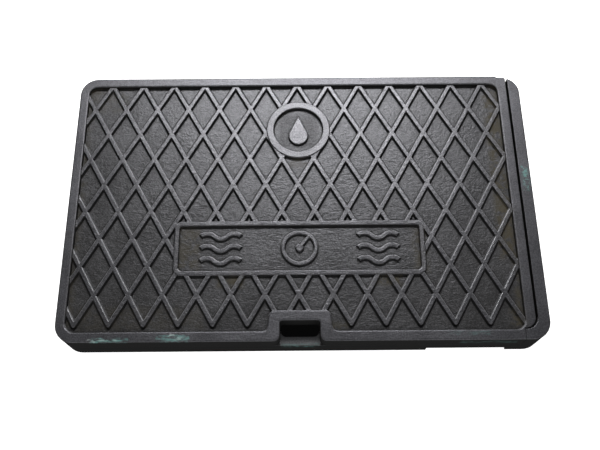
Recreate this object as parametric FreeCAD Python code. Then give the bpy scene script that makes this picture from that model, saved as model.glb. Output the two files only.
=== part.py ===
import FreeCAD
import Part
from FreeCAD import Vector
import math
import os

# Water meter box cover: a cast lid that rests on a cast frame.
# X runs along the long side, -Y is the front with the finger notch, Z is up.
# The origin is the middle of the footprint, on the surface that the frame stands on. Millimetres.

# The whole cover
cover_width = 458.0
cover_depth = 282.0
cover_height = 40.0
corner_radius = 18.0

# Lid
lid_height = 18.0           # the lid's edge, from the frame's seat to the top of the rim
floor_depth = 4.4           # the sunk floor of the panel, below the top of the rim
plate_thickness = 7.0       # the plate under that floor
rim_end_width = 10.0        # front and rear rims
rim_side_width = 9.4        # left rim and right bar
panel_corner_radius = 9.0
rim_edge_radius = 1.4       # rounding of the rim's top edges
bar_setback = 1.6           # the right bar's rear end lies this far inside the rear edge
bar_step_run = 3.0          # length of the slope that leads from the one to the other
bar_step_radius = 2.5
bar_end_radius = 10.0       # round front end of the right bar

# Raised rail of the frame, beside the lid on the right and round the front corner
rail_width = 11.2
rail_gap = 2.4              # open gap between the right bar and the rail
rail_foot_gap = 1.2         # the gap where it has turned the corner
rail_seam = 0.3             # closed joint between the rail's end and the lid's front rim
seam_inset = 1.4            # the joint lies this far inside the panel's right edge
rail_corner_radius = 11.5   # inside corner of the rail

# Finger notch in the front edge of the lid, and the raised lip round it
notch_middle = -2.3
notch_width = 37.0
notch_depth = 19.7
notch_radius = 2.5
notch_mouth_radius = 6.5
lip_width = 10.0            # lip beside and behind the notch
lip_spread = 2.0            # the lip's outer sides run out by this much towards the front rim
lip_radius = 6.0
lip_foot_radius = 5.0       # fillet between the lip and the front rim

# Lattice of raised ridges on the panel's floor
diamond_width = 32.15
diamond_depth = 57.2
half_columns = 26
half_rows = 9
lattice_middle = -2.9       # the lattice's centre line, from the middle of the cover
lattice_inset = 8.1         # its rear row of crossings lies this far inside the rear edge
lattice_overrun = 0.2       # the ridges run on to the rear rim by this share of a row
ridge_height = 2.8
ridge_top_width = 3.6
ridge_foot_width = 6.2

# Ring near the rear edge, with a plain drop in it
motif_middle = -2.0         # the ring's and the label frame's centre line
ring_middle_y = 79.6
ring_outer_radius = 32.6
ring_inner_radius = 24.8
ring_height = 3.4
drop_radius = 10.0
drop_length = 34.0

# Label frame in the front half, with waves and a dial in it
label_middle_y = -49.1
label_width = 242.0
label_depth = 55.8
label_band = 5.2
label_corner_radius = 8.0
label_height = 3.4
motif_height = 2.5
wave_stroke = 4.6
wave_bars = 3               # one above the other
half_waves = 3              # in each bar
wave_chord = 13.0           # length of one half wave
wave_pitch = 12.6           # from one wave bar to the next
wave_half_turn = 45.0       # the arc of a half wave turns by this angle each way
wave_offset = 76.0          # from the middle of the label to the middle of the waves
dial_radius = 18.0
dial_stroke = 4.2
pointer_angle = 52.0
pointer_width = 3.6
hub_radius = 4.0
motif_edge = 0.8            # slope along the top edges of the raised motifs

# Underside of the lid
seat_width = 14.0           # width of the lid's edge that rests on the frame
skirt_clearance = 2.0       # between the locating skirt and the frame's inner edge
skirt_width = 6.0
skirt_depth = 6.0           # below the frame's seat
rib_width = 6.0
rib_depth = 8.0             # below the plate
cross_ribs = 3
skirt_corner_radius = 3.0

# Frame
wall_thickness = 8.5
ledge_thickness = 7.0       # the seat that the lid rests on
wall_bottom = 8.0           # the wall ends here, and the lugs under it reach the ground
mouth_radius = 6.0          # corners of the opening inside the seat
slot_radius = 5.0           # corners of the opening behind the bar of the notch
slot_inset = 0.6            # the sides of that opening stand this far inside the notch's sides
lug_corner_run = 10.0       # the lugs run this far into the round corners
recess_start = 118.0        # the recess between the two front lugs
recess_end = 194.0

# Heights and edges that follow
top = cover_height
seat = top - lid_height
floor = top - floor_depth
plate_bottom = floor - plate_thickness
left = -cover_width / 2
right = cover_width / 2
front = -cover_depth / 2
rear = cover_depth / 2
rail_inside = right - rail_width
lid_right = rail_inside - rail_gap
panel_left = left + rim_side_width
panel_right = lid_right - rim_side_width
panel_front = front + rim_end_width
panel_rear = rear - rim_end_width
frame_rear = rear - bar_setback
seam_x = panel_right - seam_inset
notch_left = notch_middle - notch_width / 2
notch_right = notch_middle + notch_width / 2
notch_rear = front + notch_depth
lip_rear = notch_rear + lip_width
half_width = diamond_width / 2
half_depth = diamond_depth / 2
lattice_rear = rear - lattice_inset
sink = 0.6                  # raised features start this far inside the metal under them
margin = 1.0                # cutting solids run this far past what they cut


def rounded_wire(corners):
    """Closed wire at z = 0 through (x, y, radius) corners, with a tangent arc at each radius."""
    count = len(corners)
    arcs = []
    for i, (x, y, radius) in enumerate(corners):
        here = Vector(x, y, 0)
        before = (Vector(corners[i - 1][0], corners[i - 1][1], 0) - here).normalize()
        following = corners[(i + 1) % count]
        after = (Vector(following[0], following[1], 0) - here).normalize()
        half = before.getAngle(after) / 2
        reach = radius / math.tan(half)
        inward = (before + after).normalize()
        middle = here + inward * (radius / math.sin(half) - radius)
        arcs.append((here + before * reach, middle, here + after * reach, radius))
    edges = []
    for i, (start, middle, end, radius) in enumerate(arcs):
        if radius:
            edges.append(Part.Arc(start, middle, end).toShape())
        next_start = arcs[(i + 1) % count][0]
        if (next_start - end).Length > 1e-6:
            edges.append(Part.makeLine(end, next_start))
    return Part.Wire(edges)


def prism(wire, bottom, height):
    """Solid between two levels inside a closed wire drawn at z = 0."""
    face = Part.Face(wire)
    face.translate(Vector(0, 0, bottom))
    return face.extrude(Vector(0, 0, height))


def rectangle(x0, x1, y0, y1, radius=0.0):
    """Closed wire of a rectangle with equal corners."""
    return rounded_wire([(x0, y0, radius), (x1, y0, radius), (x1, y1, radius), (x0, y1, radius)])


def disc(x, y, radius, bottom, height):
    return Part.makeCylinder(radius, height, Vector(x, y, bottom))


def edges_at(shape, level):
    """Every edge that lies in the plane z = level."""
    found = []
    for edge in shape.Edges:
        box = edge.BoundBox
        if abs(box.ZMin - level) < 1e-4 and abs(box.ZMax - level) < 1e-4:
            found.append(edge)
    return found


def motif(shape, height):
    """Gives a motif that stands on the floor a slope along its top edges."""
    return shape.makeChamfer(motif_edge, edges_at(shape, floor + height))


def top_outline():
    """The lid and the rail together from above, with the finger notch in the front edge."""
    return rounded_wire([
        (left, front, corner_radius),
        (notch_left, front, notch_mouth_radius),
        (notch_left, notch_rear, notch_radius),
        (notch_right, notch_rear, notch_radius),
        (notch_right, front, notch_mouth_radius),
        (right, front, corner_radius),
        (right, frame_rear, corner_radius),
        (panel_right + bar_step_run / 2, frame_rear, bar_step_radius),
        (panel_right - bar_step_run / 2, rear, bar_step_radius),
        (left, rear, corner_radius)])


def rail_field(seam, inside, foot, radius):
    """Outline of the raised rail's place: beside the lid on the right, and round the front corner."""
    return rounded_wire([
        (seam, front - margin, 0), (right + margin, front - margin, 0), (right + margin, rear + margin, 0),
        (inside, rear + margin, 0), (inside, foot, radius), (seam, foot, 0)])


def top_layer():
    """The rim and the sunk panel, from the frame's seat to the top, before the rail is parted from it."""
    layer = prism(top_outline(), seat, lid_height)
    layer = layer.cut(prism(panel_outline(), floor, floor_depth))
    return layer.makeFillet(rim_edge_radius, edges_at(layer, top))


def panel_outline():
    """The sunk panel from above, which bends round the lip of the finger notch."""
    lip_left = notch_left - lip_width
    lip_right = notch_right + lip_width
    return rounded_wire([
        (panel_left, panel_front, panel_corner_radius),
        (lip_left - lip_spread, panel_front, lip_foot_radius),
        (lip_left, lip_rear, lip_radius),
        (lip_right, lip_rear, lip_radius),
        (lip_right + lip_spread, panel_front, lip_foot_radius),
        (panel_right, panel_front, panel_corner_radius),
        (panel_right, panel_rear, panel_corner_radius),
        (panel_left, panel_rear, panel_corner_radius)])


def ridge(start, end):
    """One straight ridge between two points on the floor, with sloping sides."""
    run = end - start
    across = Vector(-run.y, run.x, 0).normalize()
    base = Vector(0, 0, floor - sink)
    crest = Vector(0, 0, floor + ridge_height)
    spread = (ridge_foot_width - ridge_top_width) * sink / ridge_height
    foot = across * ((ridge_foot_width + spread) / 2)
    brow = across * (ridge_top_width / 2)
    profile = Part.makePolygon([
        start + base - foot, start + base + foot, start + crest + brow, start + crest - brow, start + base - foot])
    return Part.Face(profile).extrude(run)


def crossing(column, row):
    """The lattice crossing at a half column, counted from the middle, and a half row, from the rear."""
    return Vector(lattice_middle + half_width * column, lattice_rear - half_depth * row, 0)


def ridges_leaning(side):
    """All parallel ridges that lean one way: side is 1 or -1."""
    edge = half_columns / 2 + 1
    found = []
    shift = -int(edge) - half_rows
    while shift <= edge:
        if shift % 2 == 0:
            first = max(-lattice_overrun, -edge - shift)
            last = min(float(half_rows), edge - shift)
            if last > first:
                start = crossing(side * (shift + first), first)
                end = crossing(side * (shift + last), last)
                found.append(ridge(start, end))
        shift += 1
    return found


def ridge_tips():
    """Round tips where two ridges meet in the front row."""
    foot = ridge_foot_width / 2
    brow = ridge_top_width / 2
    tips = []
    for column in range(-half_columns // 2, half_columns // 2 + 1):
        if (column + half_rows) % 2 == 0:
            at = crossing(column, half_rows)
            at.z = floor - sink
            tips.append(Part.makeCone(foot, brow, ridge_height + sink, at))
    return tips


def lattice():
    """The ridges inside the panel, open at the ring and the label frame."""
    one_way = Part.makeCompound(ridges_leaning(1) + ridge_tips())
    other_way = Part.makeCompound(ridges_leaning(-1))
    ridges = one_way.fuse(other_way)
    field = Part.Face(panel_outline()).makeOffset2D(margin)
    field.translate(Vector(0, 0, floor - sink - margin))
    ridges = ridges.common(field.extrude(Vector(0, 0, ridge_height + 2 * sink + 2 * margin)))
    ring_band = (ring_outer_radius - ring_inner_radius) / 2
    clear_bottom = floor - 2 * sink
    clear_height = ridge_height + 3 * sink
    ring_field = disc(motif_middle, ring_middle_y, ring_outer_radius - ring_band, clear_bottom, clear_height)
    label_field = prism(label_wire(label_band / 2), clear_bottom, clear_height)
    return ridges.cut([ring_field, label_field])


def ring():
    """Round band near the rear edge."""
    outer = disc(motif_middle, ring_middle_y, ring_outer_radius, floor - sink, ring_height + sink)
    inner = disc(motif_middle, ring_middle_y, ring_inner_radius, floor - sink, ring_height + sink)
    return motif(outer.cut(inner), ring_height)


def drop():
    """A plain water drop, point up."""
    low = ring_middle_y - drop_length / 2 + drop_radius
    tip = low + drop_length - drop_radius
    lean = math.asin(drop_radius / (tip - low))
    touch = Vector(drop_radius * math.cos(lean), drop_radius * math.sin(lean), 0)
    centre = Vector(motif_middle, low, 0)
    point = Vector(motif_middle, tip, 0)
    right_touch = centre + touch
    left_touch = centre + Vector(-touch.x, touch.y, 0)
    base = centre - Vector(0, drop_radius, 0)
    wire = Part.Wire([
        Part.makeLine(point, left_touch),
        Part.Arc(left_touch, base, right_touch).toShape(),
        Part.makeLine(right_touch, point)])
    return motif(prism(wire, floor - sink, motif_height + sink), motif_height)


def label_wire(inset):
    """Outline of the label frame, moved inwards by an inset."""
    return rectangle(
        motif_middle - label_width / 2 + inset, motif_middle + label_width / 2 - inset,
        label_middle_y - label_depth / 2 + inset, label_middle_y + label_depth / 2 - inset,
        max(label_corner_radius - inset, 0))


def label_frame():
    """Long raised frame with round corners."""
    outer = prism(label_wire(0), floor - sink, label_height + sink)
    inner = prism(label_wire(label_band), floor - sink, label_height + sink)
    return motif(outer.cut(inner), label_height)


def wave(x, y):
    """A wavy bar centred on a point: a band of equal arcs that bend up and down in turn."""
    turn = math.radians(wave_half_turn)
    radius = wave_chord / 2 / math.sin(turn)
    drop_to_centre = radius * math.cos(turn)
    start = x - wave_chord * half_waves / 2

    def side(offset):
        arcs = []
        for i in range(half_waves):
            up = 1 if i % 2 == 0 else -1
            centre = Vector(start + wave_chord * (i + 0.5), y - up * drop_to_centre, 0)
            reach = radius + up * offset
            points = []
            for angle in (-turn, 0.0, turn):
                points.append(centre + Vector(reach * math.sin(angle), up * reach * math.cos(angle), 0))
            arcs.append(Part.Arc(*points).toShape())
        return arcs

    upper = side(wave_stroke / 2)
    lower = side(-wave_stroke / 2)
    start_edge = Part.makeLine(upper[0].Vertexes[0].Point, lower[0].Vertexes[0].Point)
    end_edge = Part.makeLine(upper[-1].Vertexes[-1].Point, lower[-1].Vertexes[-1].Point)
    return Part.Wire(upper + [end_edge] + lower[::-1] + [start_edge])


def waves(x):
    """Wavy bars, one above the other."""
    bars = []
    for i in range(wave_bars):
        y = label_middle_y + (i - (wave_bars - 1) / 2) * wave_pitch
        bars.append(motif(prism(wave(x, y), floor - sink, motif_height + sink), motif_height))
    return bars


def dial():
    """A plain dial: a round band, a hub and a pointer."""
    base = floor - sink
    height = motif_height + sink
    band = disc(motif_middle, label_middle_y, dial_radius, base, height)
    band = band.cut(disc(motif_middle, label_middle_y, dial_radius - dial_stroke, base, height))
    hub = disc(motif_middle, label_middle_y, hub_radius, base, height)
    reach = dial_radius - dial_stroke / 2
    pointer = prism(rectangle(0, reach, -pointer_width / 2, pointer_width / 2), base, height)
    pointer.rotate(Vector(0, 0, 0), Vector(0, 0, 1), pointer_angle)
    pointer.translate(Vector(motif_middle, label_middle_y, 0))
    whole = band.fuse([hub, pointer]).removeSplitter()
    return motif(whole, motif_height)


def inner_field(inset):
    """Outline inside the lid's edge at an inset, kept clear of the lip round the finger notch."""
    x0 = left + inset
    x1 = lid_right - inset
    y0 = front + inset
    y1 = rear - inset
    lip_left = notch_left - lip_width
    lip_right = notch_right + lip_width
    corners = [
        (x0, y0), (lip_left, y0), (lip_left, lip_rear), (lip_right, lip_rear),
        (lip_right, y0), (x1, y0), (x1, y1), (x0, y1)]
    return rounded_wire([(x, y, skirt_corner_radius) for x, y in corners])


def underside():
    """The locating skirt, which drops inside the frame, and the stiffening ribs of the plate."""
    outer_inset = seat_width + skirt_clearance
    inner_inset = outer_inset + skirt_width
    outer = prism(inner_field(outer_inset), seat - skirt_depth, skirt_depth + sink)
    inner = prism(inner_field(inner_inset), seat - skirt_depth, skirt_depth + sink)
    side = notch_width / 2 + lip_width + skirt_width
    finger_room = prism(
        rectangle(notch_middle - side, notch_middle + side, front, lip_rear + skirt_width + margin),
        seat - skirt_depth, skirt_depth + sink)
    skirt = outer.cut([inner, finger_room])
    x0 = left + inner_inset - margin
    x1 = lid_right - inner_inset + margin
    y0 = front + inner_inset - margin
    y1 = rear - inner_inset + margin
    rib_bottom = plate_bottom - rib_depth
    ribs = [prism(rectangle(x0, x1, -rib_width / 2, rib_width / 2), rib_bottom, rib_depth + sink)]
    spacing = (x1 - x0) / (cross_ribs + 1)
    for i in range(1, cross_ribs + 1):
        x = x0 + spacing * i
        start = y0
        if abs(x - notch_middle) < side + rib_width:
            start = lip_rear + skirt_width
        ribs.append(prism(
            rectangle(x - rib_width / 2, x + rib_width / 2, start, y1), rib_bottom, rib_depth + sink))
    return [skirt] + ribs


def make_lid():
    """The cast lid: rim, sunk panel, lip, lattice, ring, label frame, skirt and ribs."""
    clear_of_rail = prism(
        rail_field(seam_x, lid_right, panel_front + rail_foot_gap, bar_end_radius), seat, lid_height)
    hollow = prism(inner_field(seat_width + skirt_clearance + skirt_width), seat, plate_bottom - seat)
    blank = top_layer().cut([clear_of_rail, hollow])
    notch = prism(
        rounded_wire([
            (notch_left, front - margin, 0), (notch_right, front - margin, 0),
            (notch_right, notch_rear, notch_radius), (notch_left, notch_rear, notch_radius)]),
        seat - skirt_depth, lid_height + skirt_depth)
    features = [lattice().cut(notch), ring(), drop(), label_frame(), dial()]
    features += waves(motif_middle - wave_offset)
    features += waves(motif_middle + wave_offset)
    return blank.fuse(features + underside()).removeSplitter()


def frame_outline():
    return rectangle(left, right, front, frame_rear, corner_radius)


def frame_inside():
    """Inner face of the frame's wall, which is thicker under the raised rail."""
    return rectangle(
        left + wall_thickness, rail_inside, front + wall_thickness, frame_rear - wall_thickness,
        max(corner_radius - wall_thickness, 0))


def make_frame():
    """The cast frame: wall with a seat for the lid, lugs under it, and the raised rail on the right."""
    wall_height = seat - wall_bottom
    body = prism(frame_outline(), wall_bottom, wall_height)
    hollow = prism(frame_inside(), wall_bottom, wall_height - ledge_thickness)
    ledge_front = front + seat_width
    mouth = prism(
        rectangle(left + seat_width, lid_right - seat_width, ledge_front, rear - seat_width, mouth_radius),
        wall_bottom, wall_height)
    slot = prism(
        rounded_wire([
            (notch_left + slot_inset, front + wall_thickness, slot_radius),
            (notch_right - slot_inset, front + wall_thickness, slot_radius),
            (notch_right - slot_inset, ledge_front + margin, 0),
            (notch_left + slot_inset, ledge_front + margin, 0)]),
        wall_bottom, wall_height)
    body = body.cut([hollow, mouth, slot])
    rail = top_layer().common(prism(
        rail_field(seam_x + rail_seam, rail_inside, panel_front, rail_corner_radius), seat, lid_height))
    return body.fuse([rail] + lugs()).removeSplitter()


def lugs():
    """Feet under the front and rear walls, open between the two front ones at the right."""
    ring_wall = prism(frame_outline(), 0, wall_bottom).cut(prism(frame_inside(), 0, wall_bottom))
    end = right - corner_radius + lug_corner_run
    spans = [
        (-end, recess_start, front, front + corner_radius),
        (recess_end, end, front, front + corner_radius),
        (-end, end, frame_rear - corner_radius, frame_rear)]
    feet = []
    for x0, x1, y0, y1 in spans:
        feet.append(ring_wall.common(prism(rectangle(x0, x1, y0, y1), 0, wall_bottom)))
    return feet


os.makedirs("parts", exist_ok=True)
for name, shape in (("lid", make_lid()), ("frame", make_frame())):
    solid = shape.Solids[0] if len(shape.Solids) == 1 else shape
    print(name, "solids", len(shape.Solids), "valid", shape.isValid(), "faces", len(shape.Faces),
          "volume cm3 %.0f" % (shape.Volume / 1000), "box", shape.BoundBox)
    solid.exportStep("parts/%s.step" % name)
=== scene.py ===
import bpy
import math
from mathutils import Matrix, Vector

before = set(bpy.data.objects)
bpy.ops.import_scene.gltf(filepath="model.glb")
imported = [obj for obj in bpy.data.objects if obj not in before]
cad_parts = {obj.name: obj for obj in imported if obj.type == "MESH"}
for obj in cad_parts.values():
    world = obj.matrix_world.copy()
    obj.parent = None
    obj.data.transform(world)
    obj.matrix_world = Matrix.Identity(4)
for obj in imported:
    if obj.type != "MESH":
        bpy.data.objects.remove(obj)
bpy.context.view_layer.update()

# Water meter box cover: a painted cast-iron lid in its frame. Lengths are metres unless a name says mm.
# X runs along the long side, -Y is the front with the finger notch, Z is up.
MM = 0.001

# Camera, as the photograph was taken
CAMERA_PLACE = (-0.00635, -0.3022, 0.7221)
CAMERA_PITCH = 67.99        # degrees below the horizon
CAMERA_YAW = -0.19
CAMERA_ROLL = -0.64
CAMERA_SENSOR = 36.0        # mm, its width
CAMERA_LENS = 45.5          # mm
CAMERA_SHIFT = 0.0102
CAMERA_NEAR = 0.01

# Studio: place, aim, size and power in watts of each soft panel light, then the strengths of the sky
REAR_SOFTBOX = ((0.02, 0.80, 1.00), (0.0, 0.1, 0.0), (0.7, 0.25), 18.0)
FRONT_FILL = ((0.0, -1.5, 0.9), (0.0, -0.2, 0.0), (2.4, 1.0), 15.5)
SKY_OVERHEAD = 0.11
SKY_HORIZON = 1.0
SKY_FADE = (0.08, 0.50)     # upward part of the direction, where the horizon ends and the ceiling starts
WHITE = (1.0, 1.0, 1.0, 1.0)

# Ground, near white, and painted shade where the box that the cover closes lies
GROUND_REACH = 40.0
GROUND_PAINT = (0.95, 0.95, 0.95, 1.0)
GROUND_ROUGHNESS = 0.9
GROUND_GLOW = 0.85
BOX_MOUTH = (0.0, 0.0, 222.0, 134.5, 1.0)           # a place in mm, as the worn places below
BOX_PAINTED_SHADE = (0.005, 0.005, 0.005, 1.0)
BOX_SHADE_GLOW = 0.002

# Levels of the casting, mm above the ground
FLOOR_LEVEL = 35.6
RIDGE_LEVEL = 38.4
RIM_LEVEL = 40.0
BAR_LEVEL = 22.0            # the bar that crosses the notch
FACE_LEVELS = (24.0, 30.0, 35.0, 38.0)              # the upright front face fades in and out between these

# Rounding of the cast edges, as the light finds it
FOOT_RADIUS = 1.2 * MM      # at the foot of the relief and along the rims
CROWN_RADIUS = 1.0 * MM     # along the crowns of the ridges
CORNER_SHADE_REACH = 5.0 * MM     # how far from the relief the painted shade in its corners dulls the floor
CORNER_SHADE_SHINE = 0.45         # what is left there of the floor's shine

# Grain sizes in mm
MOTTLE_SIZE = 30.0          # dust, lying thick and thin
SWELL_SIZE = 6.0            # slow waves of the casting
WRINKLE_SIZE = 2.1          # leathery skin of the casting
GRAIN_SIZE = 1.3            # sand grain of the casting
EARTH_SIZE = 8.0
STREAK_SIZE = 3.0           # paint scraped on
SPECK_SIZE = 3.5            # paint dabbed on
RAGGED_SIZE = 4.0           # how finely the edges of the worn places stray
NOISE_SWING = 4.0           # makes a noise of 0.5, give or take 0.25, one of give or take 1
NOISE_RANGE = (0.3, 0.7)    # where a noise mostly stays

# Height of the cast texture in mm, and how strongly it shows on the panel, on the rims and on the painted
# highlight edges
SWELL_HEIGHT = 1.0
SWELL_STRENGTH = (0.25, 0.12)
WRINKLE_HEIGHT = 0.8
WRINKLE_STRENGTH = (0.25, 0.15, 0.08)
GRAIN_HEIGHT = 0.35
GRAIN_STRENGTH = (0.50, 0.55, 0.15)

# Finish: roughness from thin to thick dust, on the ridges from their sides to their crowns, and shine
FLOOR_ROUGHNESS = (0.31, 0.37)
RIM_ROUGHNESS = (0.35, 0.41)
RIDGE_ROUGHNESS = (0.27, 0.33)
FLOOR_SHINE = 0.445
RIDGE_SHINE = 0.75
RIM_SHINE = 0.72
FLOOR_SPECKLE = (0.60, 1.40)
TOP_SPECKLE = (0.72, 1.28)
MOTTLE_SPECKLE = (0.88, 1.12)
# Metal on the painted highlight edges of the ridge crowns
PAINTED_HIGHLIGHT_METAL = 0.5

# Paint, dust and dirt, and the colours of painted light and highlight, in linear light
BLACK_PAINT = (0.011, 0.011, 0.011, 1.0)
FLOOR_DUST_THIN = (0.0155, 0.0150, 0.0147, 1.0)
FLOOR_DUST_THICK = (0.0310, 0.0300, 0.0295, 1.0)
TOP_DUST_THIN = (0.020, 0.020, 0.022, 1.0)
TOP_DUST_THICK = (0.032, 0.032, 0.035, 1.0)
# Painted light: lighter grey on the top of the bar across the notch
BAR_PAINTED_LIGHT = (0.085, 0.086, 0.089, 1.0)
FLOOR_SHEEN = (0.93, 0.935, 1.0, 1.0)
RIDGE_SHEEN = (0.94, 0.935, 1.0, 1.0)
RIM_SHEEN = (0.925, 0.92, 1.0, 1.0)
EARTH = (0.052, 0.046, 0.033, 1.0)
TEAL = (0.13, 0.25, 0.235, 1.0)
CHALK = (0.42, 0.46, 0.45, 1.0)
# Painted highlight: bright bare-iron colour on the crown edges that face the rear light
PAINTED_HIGHLIGHT_IRON = (0.26, 0.26, 0.27, 1.0)

# Worn and dirty places, and places of painted light and shade, in mm: centre x, centre y, half width, half
# depth, strength
RIM_SCUFFS = (
    (-177.0, -139.0, 17.0, 1.8, 0.75),
    (-119.0, -137.4, 15.0, 3.0, 0.65),
    (152.0, -134.5, 20.0, 1.8, 0.18),
)
RAIL_SCUFF = (223.6, 22.0, 3.0, 13.0, 0.80)         # on the rail beside the lid
FACE_SCUFF = (172.0, -141.0, 26.0, 0.6, 0.10)       # on the upright front face
BAR_SCUFF = (-2.3, -139.8, 17.5, 0.9, 0.40)         # on the bar across the notch
CHALK_MARKS = (
    (-194.0, -139.0, 3.4, 1.3, 0.50),
    (-180.0, -138.6, 9.0, 0.7, 0.35),
    (-120.0, -135.0, 2.4, 2.4, 0.50),
    (-114.0, -137.6, 3.4, 1.2, 0.35),
    (-60.0, -137.0, 3.0, 1.2, 0.20),
)
EARTH_SPOTS = (
    (201.5, 124.0, 7.0, 6.0, 0.8),
    (201.0, -119.5, 7.0, 8.0, 0.9),
    (203.8, 0.0, 2.2, 118.0, 0.9),
    (199.0, 30.0, 8.0, 90.0, 1.0),
    (-217.6, 0.0, 2.2, 124.0, 0.5),
    (-215.0, 127.5, 8.0, 4.0, 0.6),
    (-198.0, 117.0, 20.0, 14.0, 0.35),
    (-1.7, 43.5, 9.0, 5.0, 0.6),
    (-109.0, -49.5, 11.0, 22.0, 0.6),
    (114.0, -51.5, 7.0, 22.0, 0.55),
    (-68.0, -82.0, 12.0, 5.0, 0.9),
    (83.0, -81.5, 12.0, 5.0, 0.9),
    (34.0, -127.0, 8.0, 4.0, 0.6),
    (-150.0, -118.0, 60.0, 12.0, 0.25),
)
# Where painted light lies on the top of the bar across the notch
BAR_TOP = (-2.3, -136.0, 19.0, 6.5, 1.0)
RING_SHADE = (-2.0, 79.6, 21.0, 21.0, 0.42)         # painted shade: duller floor in the middle of the ring


class Graph:
    """One procedural material, with short calls for the nodes that it is built from."""

    def __init__(self, name):
        self.material = bpy.data.materials.new(name)
        self.material.use_nodes = True
        self.tree = self.material.node_tree
        self.tree.nodes.clear()
        self.output = self.tree.nodes.new("ShaderNodeOutputMaterial")
        self.shader = self.tree.nodes.new("ShaderNodeBsdfPrincipled")
        self.tree.links.new(self.shader.outputs["BSDF"], self.output.inputs["Surface"])
        self.place = self.node("ShaderNodeTexCoord").outputs["Object"]
        self.x, self.y, self.z = [self.math("DIVIDE", part, MM) for part in self.split(self.place)]

    def node(self, kind, **settings):
        made = self.tree.nodes.new(kind)
        for name, value in settings.items():
            setattr(made, name, value)
        return made

    def put(self, socket, value):
        """Feed a socket from another node, or set its plain value."""
        if isinstance(value, bpy.types.NodeSocket):
            self.tree.links.new(value, socket)
        else:
            socket.default_value = value

    def set(self, name, value):
        self.put(self.shader.inputs[name], value)

    def math(self, operation, a, b=0.0):
        made = self.node("ShaderNodeMath", operation=operation)
        self.put(made.inputs[0], a)
        self.put(made.inputs[1], b)
        return made.outputs[0]

    def times(self, *values):
        result = values[0]
        for value in values[1:]:
            result = self.math("MULTIPLY", result, value)
        return result

    def largest(self, *values):
        result = values[0]
        for value in values[1:]:
            result = self.math("MAXIMUM", result, value)
        return result

    def ramp(self, value, low, high, start=0.0, end=1.0):
        """Smooth step from start to end while the value goes from low to high."""
        made = self.node("ShaderNodeMapRange", interpolation_type="SMOOTHSTEP")
        self.put(made.inputs["Value"], value)
        self.put(made.inputs["From Min"], low)
        self.put(made.inputs["From Max"], high)
        self.put(made.inputs["To Min"], start)
        self.put(made.inputs["To Max"], end)
        return made.outputs["Result"]

    def noise(self, size_mm, detail, roughness, place=None):
        made = self.node("ShaderNodeTexNoise")
        self.put(made.inputs["Vector"], place or self.place)
        self.put(made.inputs["Scale"], 1.0 / (size_mm * MM))
        self.put(made.inputs["Detail"], detail)
        self.put(made.inputs["Roughness"], roughness)
        return made.outputs["Fac"]

    def spread(self, noise, start, end):
        """From start to end over the range where a noise mostly stays."""
        return self.ramp(noise, *NOISE_RANGE, start, end)

    def squeeze(self, x, y):
        """Place on the object for a noise that is squeezed along X and Y by these factors."""
        made = self.node("ShaderNodeVectorMath", operation="MULTIPLY")
        self.put(made.inputs[0], self.place)
        self.put(made.inputs[1], (x, y, 1.0))
        return made.outputs[0]

    def mix(self, factor, a, b):
        """Colour a where the factor is 0, colour b where it is 1."""
        made = self.node("ShaderNodeMix", data_type="RGBA")
        self.put(made.inputs["Factor"], factor)
        self.put(made.inputs["A"], a)
        self.put(made.inputs["B"], b)
        return made.outputs[2]

    def blend(self, factor, a, b):
        """The same for plain values."""
        made = self.node("ShaderNodeMix", data_type="FLOAT")
        self.put(made.inputs["Factor"], factor)
        self.put(made.inputs["A"], a)
        self.put(made.inputs["B"], b)
        return made.outputs[0]

    def split(self, vector):
        made = self.node("ShaderNodeSeparateXYZ")
        self.put(made.inputs[0], vector)
        return made.outputs

    def bevel(self, radius):
        """Normal of the surface with its edges rounded to a radius."""
        made = self.node("ShaderNodeBevel", samples=8)
        self.put(made.inputs["Radius"], radius)
        return made.outputs["Normal"]

    def bump(self, height, height_mm, strength, below):
        """Normal below, roughened by a height."""
        made = self.node("ShaderNodeBump")
        self.put(made.inputs["Height"], height)
        self.put(made.inputs["Distance"], height_mm * MM)
        self.put(made.inputs["Strength"], strength)
        self.put(made.inputs["Normal"], below)
        return made.outputs["Normal"]

    def outside(self, value, middle, half):
        """How far a value lies outside a stretch, negative inside it."""
        return self.math("SUBTRACT", self.math("ABSOLUTE", self.math("SUBTRACT", value, middle)), half)

    def patch(self, place, soft, ragged=0.0):
        """Strength of one place of scuffs, dirt, painted light or painted shade, which fades over a soft
        edge; the edge strays by the ragged mm.
        """
        x, y, half_width, half_depth, strength = place
        outside = self.largest(self.outside(self.x, x, half_width), self.outside(self.y, y, half_depth))
        if ragged:
            noise = self.math("SUBTRACT", self.noise(RAGGED_SIZE, 2.0, 0.55), 0.5)
            outside = self.math("ADD", outside, self.math("MULTIPLY", noise, NOISE_SWING * ragged))
        return self.ramp(outside, soft / 2, -soft / 2, 0.0, strength)

    def patches(self, places, soft, ragged=0.0):
        return self.largest(*[self.patch(place, soft, ragged) for place in places])


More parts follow.
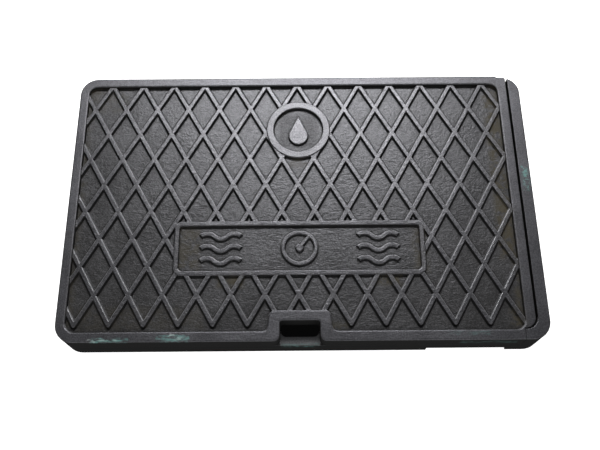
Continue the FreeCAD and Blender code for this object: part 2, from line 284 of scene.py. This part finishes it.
class CastIron(Graph):
    """Black paint on cast iron: dust where it faces up, and the dust colour also on the sides that face
    the rear light as painted light; the sides that face the front stay black and lose their shine, as
    painted shade.
    """

    def __init__(self):
        super().__init__("painted_cast_iron")
        self.find_parts()
        self.find_slopes()
        self.find_grain()
        self.find_dirt()
        self.find_wear_and_highlights()
        self.set("Base Color", self.colour())
        # Metal only on the painted highlight edges
        self.set("Metallic", self.times(self.painted_highlight, PAINTED_HIGHLIGHT_METAL))
        self.set("Roughness", self.roughness())
        self.set("Specular IOR Level", self.gloss())
        self.set("Specular Tint", self.on_parts(self.mix, FLOOR_SHEEN, RIDGE_SHEEN, RIM_SHEEN))
        self.set("Normal", self.relief())

    def on_parts(self, join, floor, ridge, rim):
        """One value for the sunk floor, one for the ridges and one for the rims."""
        return join(self.raised, floor, join(self.rim, ridge, rim))

    def find_parts(self):
        """Masks of what stands above the sunk floor, of the rims, and of other levels of the casting."""
        self.raised = self.ramp(self.z, FLOOR_LEVEL + 0.6, RIDGE_LEVEL - 0.6)
        self.rim = self.ramp(self.z, RIM_LEVEL - 0.9, RIM_LEVEL - 0.3)
        self.rim_top = self.ramp(self.z, RIM_LEVEL - 2.6, RIM_LEVEL - 0.6)
        self.bar = self.ramp(self.z, BAR_LEVEL + 4.0, BAR_LEVEL + 2.0)
        self.bar_top = self.ramp(self.z, BAR_LEVEL - 8.0, BAR_LEVEL - 4.0)
        foot, face_low, face_high, edge = FACE_LEVELS
        self.front_face = self.times(self.ramp(self.z, foot, face_low), self.ramp(self.z, edge, face_high))

    def find_slopes(self):
        """Masks of the slopes, taken from the normal with its edges rounded."""
        self.rounded = self.bevel(self.on_parts(self.blend, FOOT_RADIUS, CROWN_RADIUS, FOOT_RADIUS))
        aside, rearward, self.upward = self.split(self.rounded)
        self.rear_side = self.ramp(rearward, 0.0, 0.3)
        self.slanted = self.ramp(self.math("ABSOLUTE", aside), 0.05, 0.15)
        # Dust where the surface faces up; the sides that face the rear light get the dust colour too, as
        # painted light
        self.dust_and_lit_side = self.largest(self.ramp(self.upward, 0.75, 0.97), self.times(self.rear_side, 0.8))

    def find_grain(self):
        """Noises of the dust, lying thick and thin, and of the skin of the casting."""
        self.mottle = self.noise(MOTTLE_SIZE, 4.0, 0.6)
        self.grain = self.noise(GRAIN_SIZE, 2.0, 0.7)
        self.swells = self.noise(SWELL_SIZE, 2.0, 0.5, self.squeeze(1.0, 1.4))
        self.wrinkles = self.noise(WRINKLE_SIZE, 2.0, 0.5, self.squeeze(0.75, 1.5))

    def find_dirt(self):
        """Earth in the corners of the panel, and painted light on the top of the bar across the notch."""
        clods = self.ramp(self.noise(EARTH_SIZE, 4.0, 0.65), 0.36, 0.58)
        below_crowns = self.ramp(self.raised, 1.0, 0.0, 0.25, 1.0)
        self.earth = self.times(self.patches(EARTH_SPOTS, 9.0), clods, below_crowns)
        grains = self.spread(self.grain, 0.7, 1.0)
        facing_up = self.ramp(self.upward, 0.3, 0.9)
        # Painted light on the upward face of the bar, speckled by the grain
        self.bar_painted_light = self.times(self.patch(BAR_TOP, 1.0), facing_up, self.bar, grains)

    def find_wear_and_highlights(self):
        """Teal and chalky paint scraped on, and a painted highlight: bright iron on the crown edges that
        face the rear light.
        """
        streaks = self.noise(STREAK_SIZE, 3.0, 0.7, self.squeeze(0.35, 1.6))
        specks = self.noise(SPECK_SIZE, 3.0, 0.7)
        scraped = self.largest(
            self.times(self.patches(RIM_SCUFFS, 2.0, 1.0), self.rim_top),
            self.times(self.patch(FACE_SCUFF, 2.0, 1.5), self.front_face),
            self.times(self.patch(BAR_SCUFF, 2.0, 1.0), self.bar_top))
        dabbed = self.times(self.patch(RAIL_SCUFF, 4.0, 1.0), self.rim_top, self.ramp(specks, 0.44, 0.62))
        self.teal = self.largest(self.times(scraped, self.ramp(streaks, 0.40, 0.60)), dabbed)
        chalk_streaks = self.ramp(streaks, 0.45, 0.62)
        self.chalk = self.times(self.patches(CHALK_MARKS, 1.5, 0.8), self.rim_top, chalk_streaks)

        # Painted highlight: slanted crown edges of the ridges that face the rear light, fading towards the
        # rear
        ridges = self.times(self.raised, self.ramp(self.rim, 1.0, 0.0))
        edges = self.times(self.ramp(self.upward, 0.99, 0.95), self.rear_side, self.slanted)
        front_part = self.ramp(self.y, 130.0, 20.0)
        self.painted_highlight = self.times(ridges, edges, front_part)

    def colour(self):
        floor_dust = self.mix(self.mottle, FLOOR_DUST_THIN, FLOOR_DUST_THICK)
        top_dust = self.mix(self.mottle, TOP_DUST_THIN, TOP_DUST_THICK)
        # Dust colour on upward faces, and painted light on the sides that face the rear light
        dust_and_light = self.times(self.dust_and_lit_side, self.spread(self.grain, 0.6, 1.0))
        colour = self.mix(dust_and_light, BLACK_PAINT, self.mix(self.raised, floor_dust, top_dust))
        colour = self.mix(self.earth, colour, EARTH)
        # Painted light on the bar's top
        colour = self.mix(self.bar_painted_light, colour, BAR_PAINTED_LIGHT)
        colour = self.mix(self.teal, colour, TEAL)
        colour = self.mix(self.chalk, colour, CHALK)
        # Painted highlight in bare-iron colour on the lit crown edges
        return self.mix(self.painted_highlight, colour, PAINTED_HIGHLIGHT_IRON)

    def roughness(self):
        floor = self.spread(self.mottle, *FLOOR_ROUGHNESS)
        rim = self.spread(self.mottle, *RIM_ROUGHNESS)
        ridge = self.ramp(self.upward, 0.90, 0.98, *RIDGE_ROUGHNESS)
        return self.on_parts(self.blend, floor, ridge, rim)

    def gloss(self):
        """Shine of the paint: less near the foot of the relief, on the sides that face the front and in
        the middle of the ring, as painted shade, and less under dirt and scuffs.
        """
        shine = self.on_parts(self.blend, FLOOR_SHINE, RIDGE_SHINE, RIM_SHINE)
        floor_grain = self.ramp(self.grain, 0.32, 0.68, *FLOOR_SPECKLE)
        top_grain = self.ramp(self.grain, 0.35, 0.65, *TOP_SPECKLE)
        mottle = self.spread(self.mottle, *MOTTLE_SPECKLE)
        speckle = self.times(self.blend(self.raised, floor_grain, top_grain), mottle)

        # Painted shade: the floor's shine drops near the foot of the relief
        beside = self.split(self.bevel(CORNER_SHADE_REACH))[2]
        clear = self.largest(self.raised, self.ramp(beside, 0.9, 1.0, CORNER_SHADE_SHINE, 1.0))
        # Painted shade: no shine on the sides that face the front
        towards_light = self.largest(self.ramp(self.upward, 0.3, 0.97), self.rear_side)
        # Painted shade: duller floor inside the ring
        ring_shade = self.times(self.patch(RING_SHADE, 9.0), self.ramp(self.raised, 1.0, 0.0))
        dull = self.largest(self.times(self.earth, 0.8), self.teal, self.chalk, ring_shade)
        return self.times(towards_light, shine, speckle, clear, self.math("SUBTRACT", 1.0, dull))

    def on_tops(self, panel, rim, painted_highlight):
        """One value for the panel, one for the rims and one for the painted highlight edges."""
        return self.blend(self.painted_highlight, self.blend(self.rim, panel, rim), painted_highlight)

    def relief(self):
        """Normal of the cast skin: slow swells, leathery wrinkles and sand grain."""
        swelling = self.blend(self.rim, *SWELL_STRENGTH)
        swells = self.bump(self.swells, SWELL_HEIGHT, swelling, self.rounded)
        wrinkles = self.bump(self.wrinkles, WRINKLE_HEIGHT, self.on_tops(*WRINKLE_STRENGTH), swells)
        return self.bump(self.grain, GRAIN_HEIGHT, self.on_tops(*GRAIN_STRENGTH), wrinkles)


class PaleGround(Graph):
    """Near-white ground, with painted shade on it where the box that the cover closes lies."""

    def __init__(self):
        super().__init__("pale_floor")
        # Painted shade: dark colour and almost no glow under the box mouth
        inside = self.patch(BOX_MOUTH, 2.0)
        self.set("Base Color", self.mix(inside, GROUND_PAINT, BOX_PAINTED_SHADE))
        self.set("Roughness", GROUND_ROUGHNESS)
        self.set("Specular IOR Level", 0.0)
        self.set("Emission Color", WHITE)
        self.set("Emission Strength", self.ramp(inside, 0.0, 1.0, GROUND_GLOW, BOX_SHADE_GLOW))


def dress(node, material):
    node.data.materials.clear()
    node.data.materials.append(material)


def add_ground():
    reach = GROUND_REACH
    corners = [(-reach, -reach, 0), (reach, -reach, 0), (reach, reach, 0), (-reach, reach, 0)]
    mesh = bpy.data.meshes.new("ground")
    mesh.from_pydata(corners, [], [(0, 1, 2, 3)])
    mesh.materials.append(PaleGround().material)
    ground = bpy.data.objects.new("ground", mesh)
    bpy.context.collection.objects.link(ground)


def add_camera():
    pitch = math.radians(CAMERA_PITCH)
    yaw = math.radians(CAMERA_YAW)
    roll = math.radians(CAMERA_ROLL)
    ahead = Vector((math.sin(yaw) * math.cos(pitch), math.cos(yaw) * math.cos(pitch), -math.sin(pitch)))
    level = Vector((math.cos(yaw), -math.sin(yaw), 0.0))
    upright = level.cross(ahead)
    across = level * math.cos(roll) + upright * math.sin(roll)
    upward = upright * math.cos(roll) - level * math.sin(roll)
    data = bpy.data.cameras.new("camera")
    data.sensor_width = CAMERA_SENSOR
    data.lens = CAMERA_LENS
    data.shift_x = CAMERA_SHIFT
    data.clip_start = CAMERA_NEAR
    camera = bpy.data.objects.new("camera", data)
    turn = Matrix((across, upward, -ahead)).transposed().to_4x4()
    camera.matrix_world = Matrix.Translation(CAMERA_PLACE) @ turn
    bpy.context.collection.objects.link(camera)
    bpy.context.scene.camera = camera


def add_light(name, place, aim, size, power):
    """Large soft panel light that faces a point."""
    data = bpy.data.lights.new(name, "AREA")
    data.shape = "RECTANGLE"
    data.size, data.size_y = size
    data.energy = power
    light = bpy.data.objects.new(name, data)
    way = Vector(aim) - Vector(place)
    light.rotation_euler = way.to_track_quat("-Z", "Y").to_euler()
    light.location = place
    bpy.context.collection.objects.link(light)


def add_sky():
    """Dim studio ceiling that grows pale towards the horizon."""
    world = bpy.data.worlds.new("studio")
    world.use_nodes = True
    nodes, links = world.node_tree.nodes, world.node_tree.links
    direction = nodes.new("ShaderNodeTexCoord")
    parts = nodes.new("ShaderNodeSeparateXYZ")
    fade = nodes.new("ShaderNodeMapRange")
    fade.interpolation_type = "SMOOTHSTEP"
    fade.inputs["From Min"].default_value, fade.inputs["From Max"].default_value = SKY_FADE
    fade.inputs["To Min"].default_value = SKY_HORIZON
    fade.inputs["To Max"].default_value = SKY_OVERHEAD
    links.new(direction.outputs["Generated"], parts.inputs[0])
    links.new(parts.outputs["Z"], fade.inputs["Value"])
    links.new(fade.outputs["Result"], nodes["Background"].inputs["Strength"])
    nodes["Background"].inputs["Color"].default_value = WHITE
    bpy.context.scene.world = world


iron = CastIron().material
for casting in ("lid", "frame"):
    dress(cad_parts[casting], iron)
add_ground()
add_camera()
add_sky()
add_light("rear_softbox", *REAR_SOFTBOX)
add_light("front_fill", *FRONT_FILL)
bpy.context.scene.view_settings.view_transform = "Standard"
